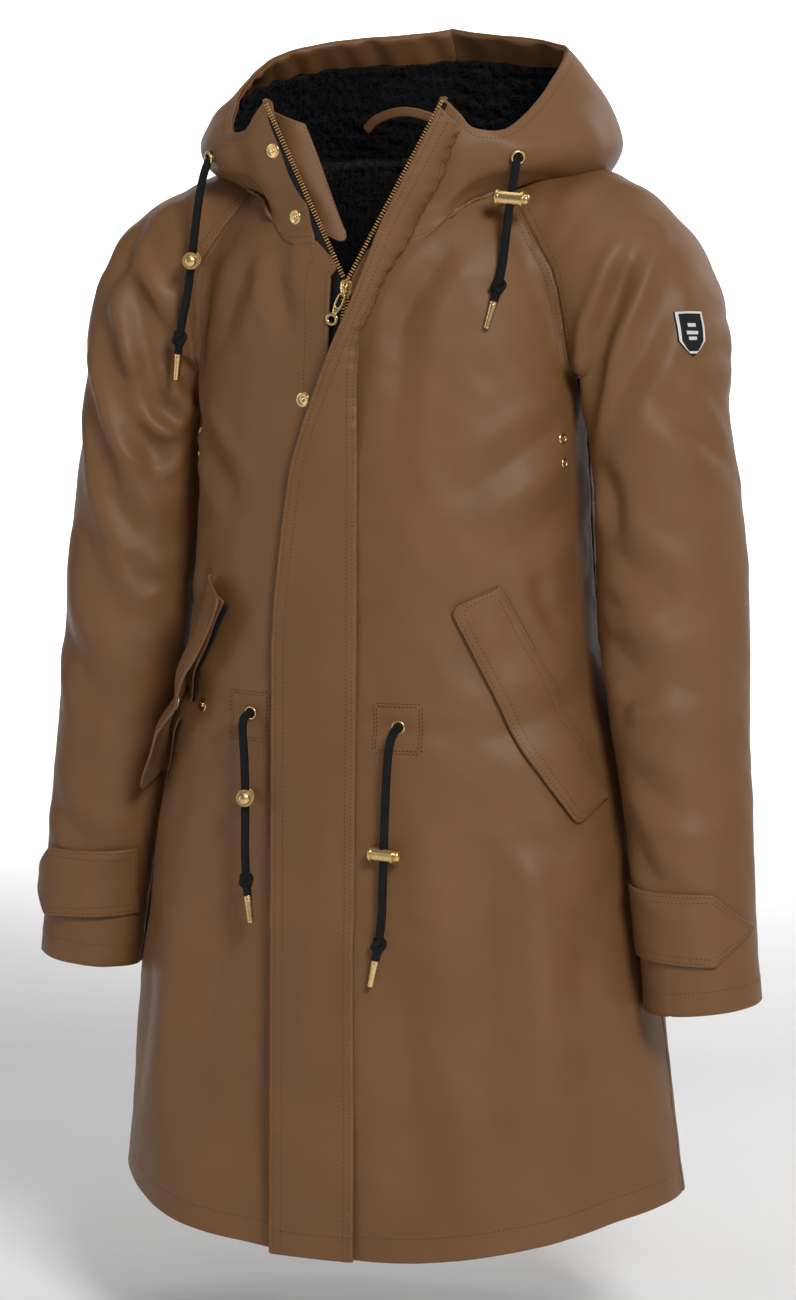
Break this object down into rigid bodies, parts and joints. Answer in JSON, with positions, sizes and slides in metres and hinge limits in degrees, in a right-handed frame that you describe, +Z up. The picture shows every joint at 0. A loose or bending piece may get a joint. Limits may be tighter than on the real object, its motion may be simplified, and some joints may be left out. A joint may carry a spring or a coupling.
{
  "type": "hooded parka coat",
  "caption": "Knee-length hooded parka in coated fabric with storm flap, slanted pocket flaps, cuff tabs and drawcords with metal stops, shaped as on an invisible wearer.",
  "frame": {"origin": "centre of the neck opening at nape level, where the wearer's neck is", "axes": "+Z up along the wearer's spine, -Y is the wearer's front, +X the wearer's left"},
  "size_m": [0.6454, 0.3191, 1.0027],
  "materials": {
    "coated_fabric": "satin coated",
    "fleece": "deep pile",
    "lining_fabric": "matte",
    "black_tape": "woven",
    "black_cord": "braided",
    "gold_metal": "polished",
    "badge_fabric": "embroidered"
  },
  "bodies": {
    "root": {"back_panel": "coated_fabric", "body_lining": "fleece", "cord_knots": "black_cord", "cord_tips": "gold_metal", "drawcord_eyelets": "gold_metal", "front_snap_studs": "gold_metal", "hanger_loop": "coated_fabric", "hood_cord_left": "black_cord", "hood_cord_right": "black_cord", "hood_facing_front": "coated_fabric", "hood_lining_front": "fleece", "hood_sides": "coated_fabric", "left_front_panel": "coated_fabric", "neck_label": "lining_fabric", "pocket_bag_left": "lining_fabric", "pocket_bag_right": "lining_fabric", "pocket_snap_studs": "gold_metal", "right_front_panel": "coated_fabric", "shoulder_left": "coated_fabric", "shoulder_right": "coated_fabric", "sleeve_badge": "badge_fabric", "storm_flap_top": "coated_fabric", "underarm_eyelets": "gold_metal", "waist_cord_left": "black_cord", "waist_cord_right": "black_cord", "zip_chain_left": "gold_metal", "zip_chain_right": "gold_metal", "zip_end_stops": "gold_metal", "zip_guard": "coated_fabric", "zip_tape_left": "black_tape", "zip_tape_right": "black_tape"},
    "storm_flap": {"storm_flap": "coated_fabric", "storm_flap_sockets": "gold_metal"},
    "pocket_flap_left": {"pocket_flap_left": "coated_fabric", "pocket_flap_socket_left": "gold_metal"},
    "pocket_flap_right": {"pocket_flap_right": "coated_fabric", "pocket_flap_socket_right": "gold_metal"},
    "sleeve_left": {"sleeve_left": "coated_fabric", "sleeve_lining_left": "lining_fabric", "cuff_stud_left": "gold_metal"},
    "sleeve_right": {"sleeve_right": "coated_fabric", "sleeve_lining_right": "lining_fabric", "cuff_stud_right": "gold_metal"},
    "cuff_tab_left": {"cuff_tab_left": "coated_fabric", "cuff_tab_socket_left": "gold_metal"},
    "cuff_tab_right": {"cuff_tab_right": "coated_fabric", "cuff_tab_socket_right": "gold_metal"},
    "hood_back": {"hood_crown": "coated_fabric", "hood_facing_back": "coated_fabric", "hood_lining_back": "fleece"},
    "zip_slider": {"zip_slider": "gold_metal"},
    "zip_pull": {"zip_pull": "gold_metal"},
    "hood_cord_stop_left": {"hood_cord_stop_left": "gold_metal"},
    "hood_cord_plunger_left": {"hood_cord_plunger_left": "gold_metal"},
    "hood_cord_stop_right": {"hood_cord_stop_right": "gold_metal"},
    "hood_cord_plunger_right": {"hood_cord_plunger_right": "gold_metal"},
    "waist_cord_stop_left": {"waist_cord_stop_left": "gold_metal"},
    "waist_cord_plunger_left": {"waist_cord_plunger_left": "gold_metal"},
    "waist_cord_stop_right": {"waist_cord_stop_right": "gold_metal"},
    "waist_cord_plunger_right": {"waist_cord_plunger_right": "gold_metal"}
  },
  "joints": [
    {"name": "zip_slide", "type": "slide", "parent": "root", "child": "zip_slider", "axis": [-0.0201, -0.0487, -0.9986], "range_m": [0, 0.765]},
    {"name": "zip_pull_lift", "type": "hinge", "parent": "zip_slider", "child": "zip_pull", "pos_m": [-0.00015, -0.11266, -0.12834], "axis": [-0.9998, 0, 0.0202], "range_deg": [0, 110]},
    {"name": "storm_flap_open", "type": "hinge", "parent": "root", "child": "storm_flap", "pos_m": [0.0125, -0.1213, -0.24], "axis": [-0.0126, 0.0485, 0.9987], "range_deg": [0, 100]},
    {"name": "pocket_flap_open_left", "type": "hinge", "parent": "root", "child": "pocket_flap_left", "pos_m": [0.13166, -0.09903, -0.36343], "axis": [-0.3542, -0.308, 0.883], "range_deg": [0, 80]},
    {"name": "pocket_flap_open_right", "type": "hinge", "parent": "root", "child": "pocket_flap_right", "pos_m": [-0.13166, -0.09903, -0.36343], "axis": [-0.3542, 0.308, -0.883], "range_deg": [0, 80]},
    {"name": "sleeve_swing_left", "type": "hinge", "parent": "root", "child": "sleeve_left", "pos_m": [0.292, 0, -0.213], "axis": [0, -1, 0], "range_deg": [0, 30]},
    {"name": "sleeve_swing_right", "type": "hinge", "parent": "root", "child": "sleeve_right", "pos_m": [-0.292, 0, -0.213], "axis": [0, 1, 0], "range_deg": [0, 30]},
    {"name": "cuff_tab_open_left", "type": "hinge", "parent": "sleeve_left", "child": "cuff_tab_left", "pos_m": [0.2245, -0.04, -0.634], "axis": [0.1092, -0.0496, -0.9928], "range_deg": [0, 60]},
    {"name": "cuff_tab_open_right", "type": "hinge", "parent": "sleeve_right", "child": "cuff_tab_right", "pos_m": [-0.2245, -0.04, -0.634], "axis": [0.1092, 0.0496, 0.9928], "range_deg": [0, 60]},
    {"name": "hood_tilt", "type": "hinge", "parent": "root", "child": "hood_back", "pos_m": [0, 0.0905, -0.05], "axis": [-1, 0, 0], "range_deg": [0, 16]},
    {"name": "hood_cord_stop_left_slide", "type": "slide", "parent": "root", "child": "hood_cord_stop_left", "axis": [-0.0781, -0.1275, -0.9888], "range_m": [0, 0.024]},
    {"name": "hood_cord_plunger_left_press", "type": "slide", "parent": "hood_cord_stop_left", "child": "hood_cord_plunger_left", "axis": [-0.992, -0.0883, 0.0897], "range_m": [0, 0.0018], "stiffness_N_per_m": 400, "springref_m": -0.0005},
    {"name": "hood_cord_stop_right_slide", "type": "slide", "parent": "root", "child": "hood_cord_stop_right", "axis": [-0.1429, 0.011, -0.9897], "range_m": [0, 0.026]},
    {"name": "hood_cord_plunger_right_press", "type": "slide", "parent": "hood_cord_stop_right", "child": "hood_cord_plunger_right", "axis": [-0.3614, 0.9303, 0.0625], "range_m": [0, 0.0018], "stiffness_N_per_m": 400, "springref_m": -0.0005},
    {"name": "waist_cord_stop_left_slide", "type": "slide", "parent": "root", "child": "waist_cord_stop_left", "axis": [-0.0216, -0.03, -0.9993], "range_m": [-0.02, 0.02]},
    {"name": "waist_cord_plunger_left_press", "type": "slide", "parent": "waist_cord_stop_left", "child": "waist_cord_plunger_left", "axis": [-0.9907, 0.1347, 0.0174], "range_m": [0, 0.0018], "stiffness_N_per_m": 400, "springref_m": -0.0005},
    {"name": "waist_cord_stop_right_slide", "type": "slide", "parent": "root", "child": "waist_cord_stop_right", "axis": [0.038, -0.0523, -0.9979], "range_m": [-0.026, 0.003]},
    {"name": "waist_cord_plunger_right_press", "type": "slide", "parent": "waist_cord_stop_right", "child": "waist_cord_plunger_right", "axis": [-0.368, 0.9277, -0.0626], "range_m": [0, 0.0018], "stiffness_N_per_m": 400, "springref_m": -0.0005}
  ]
}
